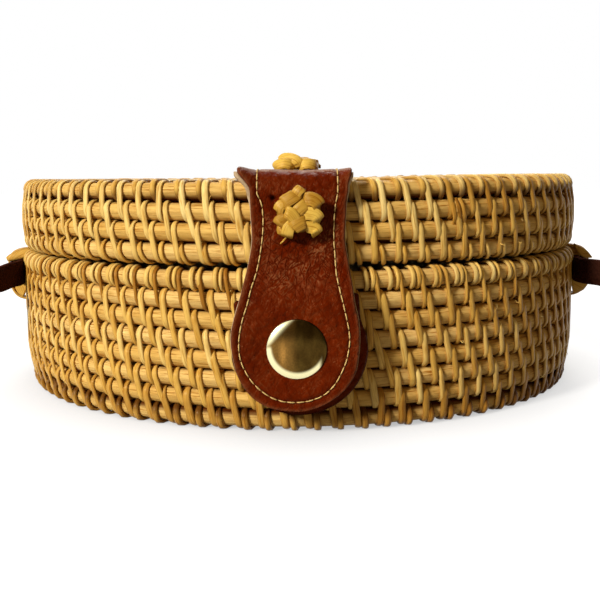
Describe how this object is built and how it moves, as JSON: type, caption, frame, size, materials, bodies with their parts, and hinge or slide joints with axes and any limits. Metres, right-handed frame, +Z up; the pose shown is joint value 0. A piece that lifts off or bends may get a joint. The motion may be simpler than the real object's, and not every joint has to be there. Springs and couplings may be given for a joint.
{
  "type": "round rattan shoulder bag",
  "caption": "Round woven rattan shoulder bag with a hinged lid, leather clasp with press stud, and a leather shoulder strap.",
  "frame": {"origin": "centre of the round base's resting face, on the case's axis", "axes": "+Z up from the resting face to the lid, -Y towards the leather clasp, +Y towards the hinge lashings, +X to the right as seen from the clasp"},
  "size_m": [0.27, 0.301, 0.0775],
  "materials": {
    "rattan_weave": "satin",
    "rattan_strand": "satin",
    "clasp_leather": "satin",
    "suede": "matte",
    "strap_leather": "satin",
    "cotton": "matte",
    "gold_metal": "polished"
  },
  "bodies": {
    "base": {"base_back_coils": "rattan_weave", "base_wall_coils": "rattan_weave", "base_rim_coil": "rattan_strand", "base_lining": "cotton", "hinge_band_left_base": "rattan_strand", "hinge_band_right_base": "rattan_strand", "catch_tab": "clasp_leather", "catch_tab_tie": "rattan_strand", "snap_stud": "gold_metal", "snap_rivet": "gold_metal", "strap_lashing_left": "rattan_strand", "strap_lashing_right": "rattan_strand", "strap_end_left": "strap_leather", "strap_end_right": "strap_leather", "shoulder_strap_left": "strap_leather", "shoulder_strap_hank": "strap_leather", "shoulder_strap_right": "strap_leather"},
    "lid": {"lid_front_coils": "rattan_weave", "lid_wall_coils": "rattan_weave", "lid_rim_coil": "rattan_strand", "lid_lining": "cotton", "hinge_band_left_lid": "rattan_strand", "hinge_band_right_lid": "rattan_strand", "clasp_strap": "clasp_leather", "clasp_strap_backing": "suede", "clasp_knot_top": "rattan_strand", "clasp_knot_front": "rattan_strand"},
    "flap": {"clasp_flap": "clasp_leather", "clasp_flap_backing": "suede", "snap_cap": "gold_metal", "snap_socket": "gold_metal"}
  },
  "joints": [
    {"name": "lid_hinge", "type": "hinge", "parent": "base", "child": "lid", "pos_m": [0, 0.1004, 0.0461], "axis": [-1, 0, 0], "range_deg": [0, 110]},
    {"name": "flap_swing", "type": "hinge", "parent": "lid", "child": "flap", "pos_m": [0, -0.1027, 0.0519], "axis": [-1, 0, 0], "range_deg": [0, 90]}
  ]
}
